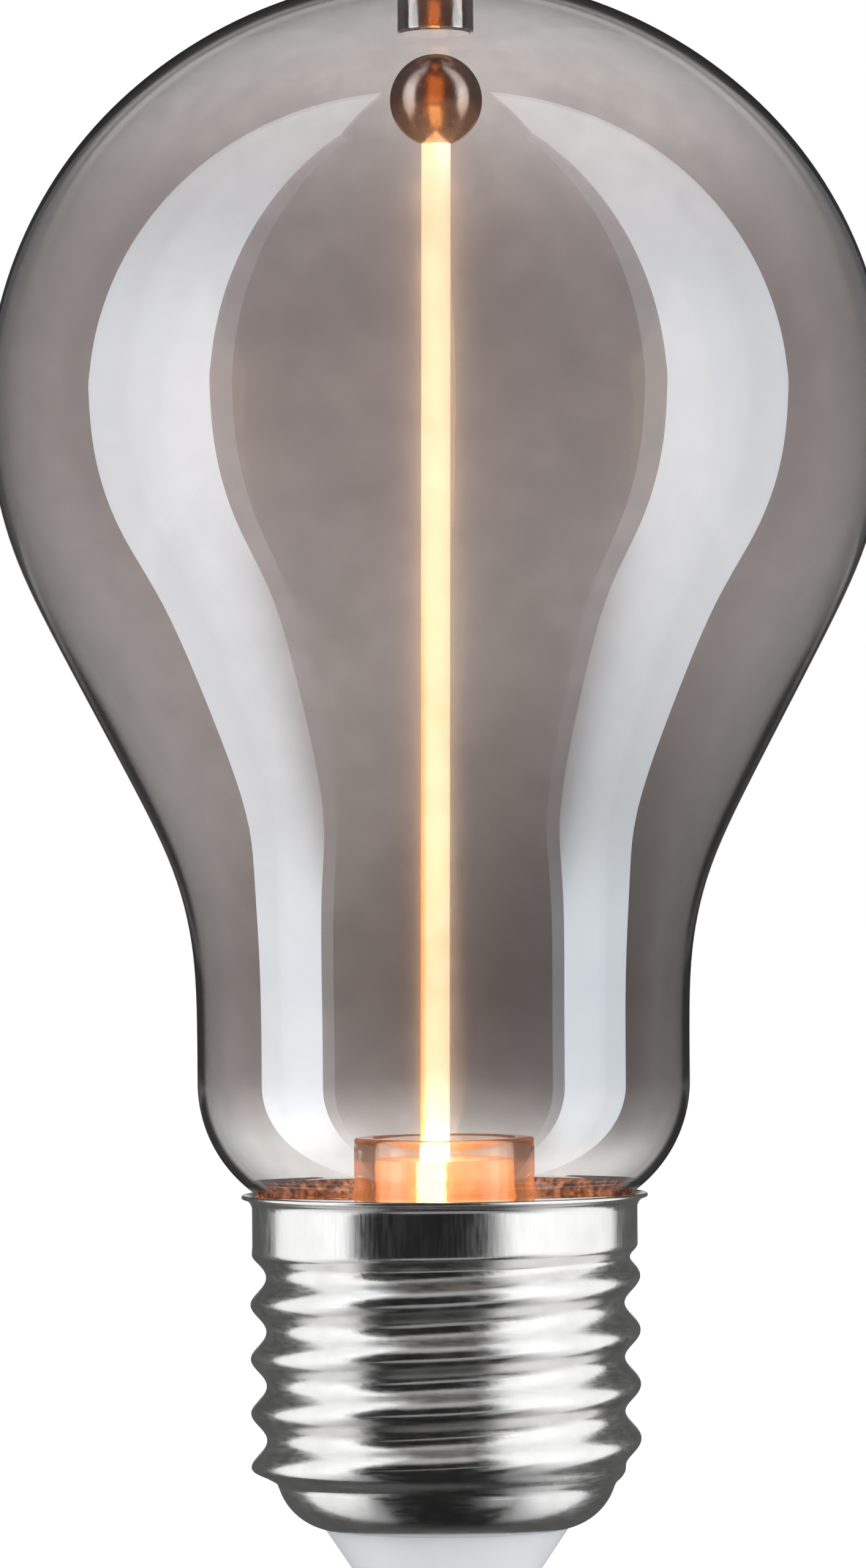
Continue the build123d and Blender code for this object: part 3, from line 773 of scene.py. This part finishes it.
floor_reach = 6.0
floor_gap = 0.0002
mirrored_spot = (0.0, 0.9, 0.0)
floor_mesh = bmesh.new()
bmesh.ops.create_grid(floor_mesh, x_segments=1, y_segments=1, size=floor_reach)
bmesh.ops.translate(floor_mesh, vec=(0.0, 0.0, -floor_gap), verts=floor_mesh.verts[:])
pale_floor, s, place = new_finish("pale floor")
distance = s.node("ShaderNodeVectorMath", {"operation": "LENGTH"}, {0: place}, "Value")
glossy = ray(s, "Glossy Depth") > 0.5
rear = s.node("ShaderNodeVectorMath", {"operation": "DISTANCE"}, {0: place, 1: mirrored_spot}, "Value")
level = span(distance, 0.05, 0.4, 0.9, 1.0) * (1.0 - glossy) + span(rear, 0.25, 0.5, 1.3, 0.04) * glossy
lit = s.node("ShaderNodeEmission", None, {"Color": plain_white, "Strength": level})
matt = s.node("ShaderNodeBsdfDiffuse", None, {"Color": (0.12, 0.12, 0.12, 1.0)})
both = s.node("ShaderNodeAddShader", None, {0: lit, 1: matt})
below = s.node("ShaderNodeNewGeometry", output="Backfacing")
clear = s.node("ShaderNodeBsdfTransparent")
one_sided = s.node("ShaderNodeMixShader", None, {0: below, 1: both, 2: clear})
s.node("ShaderNodeOutputMaterial", None, {"Surface": one_sided})
floor = stage_piece(floor_mesh, "floor", pale_floor)
floor.visible_glossy = False


def mirrored_light(name, on_metal, on_glass):
    """A light that shows in bare metal at one strength and in glass at another, and nowhere else."""
    finish, signal, place = new_finish(name)
    glossy = ray(signal, "Glossy Depth") > 0.5
    behind_glass = ray(signal, "Is Transmission Ray")
    bare = (1.0 - ray(signal, "Is Singular Ray")) * (1.0 - behind_glass)
    strength = bare * on_metal + (1.0 - bare) * on_glass * (1.0 + 0.6 * behind_glass)
    cool, warm = (0.9, 0.99, 1.06, 1.0), (0.97, 0.98, 1.0, 1.0)
    colour = signal.node("ShaderNodeMix", {"data_type": "RGBA"}, {0: bare, 6: cool, 7: warm}, 2)
    shown = glossy * (bare * float(on_metal > 0.0) + (1.0 - bare) * float(on_glass > 0.0))
    return finish, signal, place, strength, colour, shown


def hang_light(mesh, name, finish, signal, strength, colour, shown):
    """Hangs such a light in the studio, clear where it isn't shown."""
    lit = signal.node("ShaderNodeEmission", None, {"Color": colour, "Strength": strength})
    clear = signal.node("ShaderNodeBsdfTransparent")
    both = signal.node("ShaderNodeMixShader", None, {0: shown, 1: clear, 2: lit})
    signal.node("ShaderNodeOutputMaterial", None, {"Surface": both})
    card = stage_piece(mesh, name, finish)
    card.visible_camera = False
    card.visible_shadow = False


panel_foot, panel_top = -0.35, 0.9
for name, front, back, on_metal, on_glass in (
    ("left panel", (-0.267, -0.177), (-0.128, -0.0035), 1.45, 1.65),
    ("right panel", (0.267, -0.177), (0.128, -0.0035), 1.45, 1.6),
    ("left card", (-0.128, -0.0035), (-0.12, 0.061), 1.4, 0.0),
    ("right card", (0.128, -0.0035), (0.12, 0.061), 1.4, 0.0),
    ("front card", (0.1, -0.251), (0.267, -0.177), 1.45, 0.0),
    ("left edge", (-0.252, -0.208), (-0.267, -0.177), 0.0, 0.22),
    ("right edge", (0.252, -0.208), (0.267, -0.177), 0.0, 0.28),
    ("left wing", (-0.225, 0.225), (-0.11, 0.278), 0.0, 0.14),
    ("right wing", (0.225, 0.225), (0.11, 0.278), 0.0, 0.18),
):
    panel_mesh = bmesh.new()
    corner = panel_mesh.verts.new((*front, panel_foot))
    edge = bmesh.ops.extrude_vert_indiv(panel_mesh, verts=[corner])
    edge["verts"][0].co = (*back, panel_foot)
    raised = bmesh.ops.extrude_edge_only(panel_mesh, edges=edge["edges"])["geom"]
    bmesh.ops.translate(
        panel_mesh,
        vec=(0.0, 0.0, panel_top - panel_foot),
        verts=[item for item in raised if isinstance(item, bmesh.types.BMVert)],
    )
    panel_light, s, place, strength, colour, shown = mirrored_light(name, on_metal, on_glass)
    height = along(place, "Z")
    width = along(place, "Y")
    seam = span(width, -0.03, -0.04, 0.93, 1.0) * span(width, -0.05, -0.045, 1.0, 0.97)
    fade = span(height, 0.25, 0.8, 1.0, 0.75) * span(height, -0.3, -0.02, 0.25, 1.0)
    if name == "front card":
        fade = fade * span(along(place, "X"), 0.1, 0.19)
    if name.endswith("wing"):
        fade = fade * span(width, 0.225, 0.265) * span(height, 0.0, 0.15)
        shown = shown * (1.0 - ray(s, "Is Transmission Ray"))
    hang_light(panel_mesh, name, panel_light, s, strength * seam * fade, colour, shown)

low_card_reach = 0.02
low_card_place = (0.0, -0.032, 0.008)
low_card_mesh = bmesh.new()
bmesh.ops.create_grid(low_card_mesh, x_segments=1, y_segments=1, size=low_card_reach)
bmesh.ops.translate(low_card_mesh, vec=low_card_place, verts=low_card_mesh.verts[:])
low_light, s, place, strength, colour, shown = mirrored_light("low card", 0.38, 0.0)
width = s.node("ShaderNodeMath", {"operation": "ABSOLUTE"}, {0: along(place, "X")})
depth = along(place, "Y")
edge = span(width, low_card_reach, 0.01) * span(depth, -0.036, -0.03) * span(depth, -0.019, -0.022)
hang_light(low_card_mesh, "low card", low_light, s, strength, colour, shown * edge)

lamp_aim = Vector((0.0, 0.0, 0.05))
for name, spot, size, power in (
    ("key lamp", (-0.9, -1.0, 1.0), 0.9, 14.0),
    ("fill lamp", (1.0, -0.9, 0.7), 0.9, 9.0),
    ("top lamp", (0.0, 0.3, 1.5), 1.0, 12.0),
):
    lamp_data = bpy.data.lights.new(name, "AREA")
    lamp_data.shape = "DISK"
    lamp_data.size = size
    lamp_data.energy = power
    lamp = bpy.data.objects.new(name, lamp_data)
    lamp.location = spot
    lamp.rotation_euler = (lamp_aim - Vector(spot)).to_track_quat("-Z", "Y").to_euler()
    bpy.context.scene.collection.objects.link(lamp)
    lamp.visible_glossy = False
    lamp.visible_transmission = False
    lamp.visible_camera = False

# Camera: level with the bulb's middle and a short way above the cap, so the rear of the rim shows through
# the glass. The frame is a little tighter than the bulb, as in the photograph.
sensor_height = 36.0
picture_rows = 2560
rows_per_mm = 24.35
frame_height = picture_rows / rows_per_mm / 1000
camera_reach = 0.48
camera_side = -0.00056
camera_height = 0.0485
aim_height = 0.05443
camera_lean = radians(-0.45)
camera_data = bpy.data.cameras.new("camera")
camera_data.sensor_fit = "VERTICAL"
camera_data.sensor_height = sensor_height
camera_data.lens = sensor_height * camera_reach / frame_height
camera = bpy.data.objects.new("camera", camera_data)
camera.location = (camera_side, -camera_reach, camera_height)
aim = Vector((camera_side, 0.0, aim_height)) - camera.location
turn = aim.to_track_quat("-Z", "Y").to_matrix() @ Matrix.Rotation(camera_lean, 3, "Z")
camera.rotation_euler = turn.to_euler()
camera_data.clip_start = 0.01
camera_data.clip_end = 50.0
bpy.context.scene.collection.objects.link(camera)
bpy.context.scene.camera = camera
bpy.context.scene.view_settings.view_transform = "Standard"
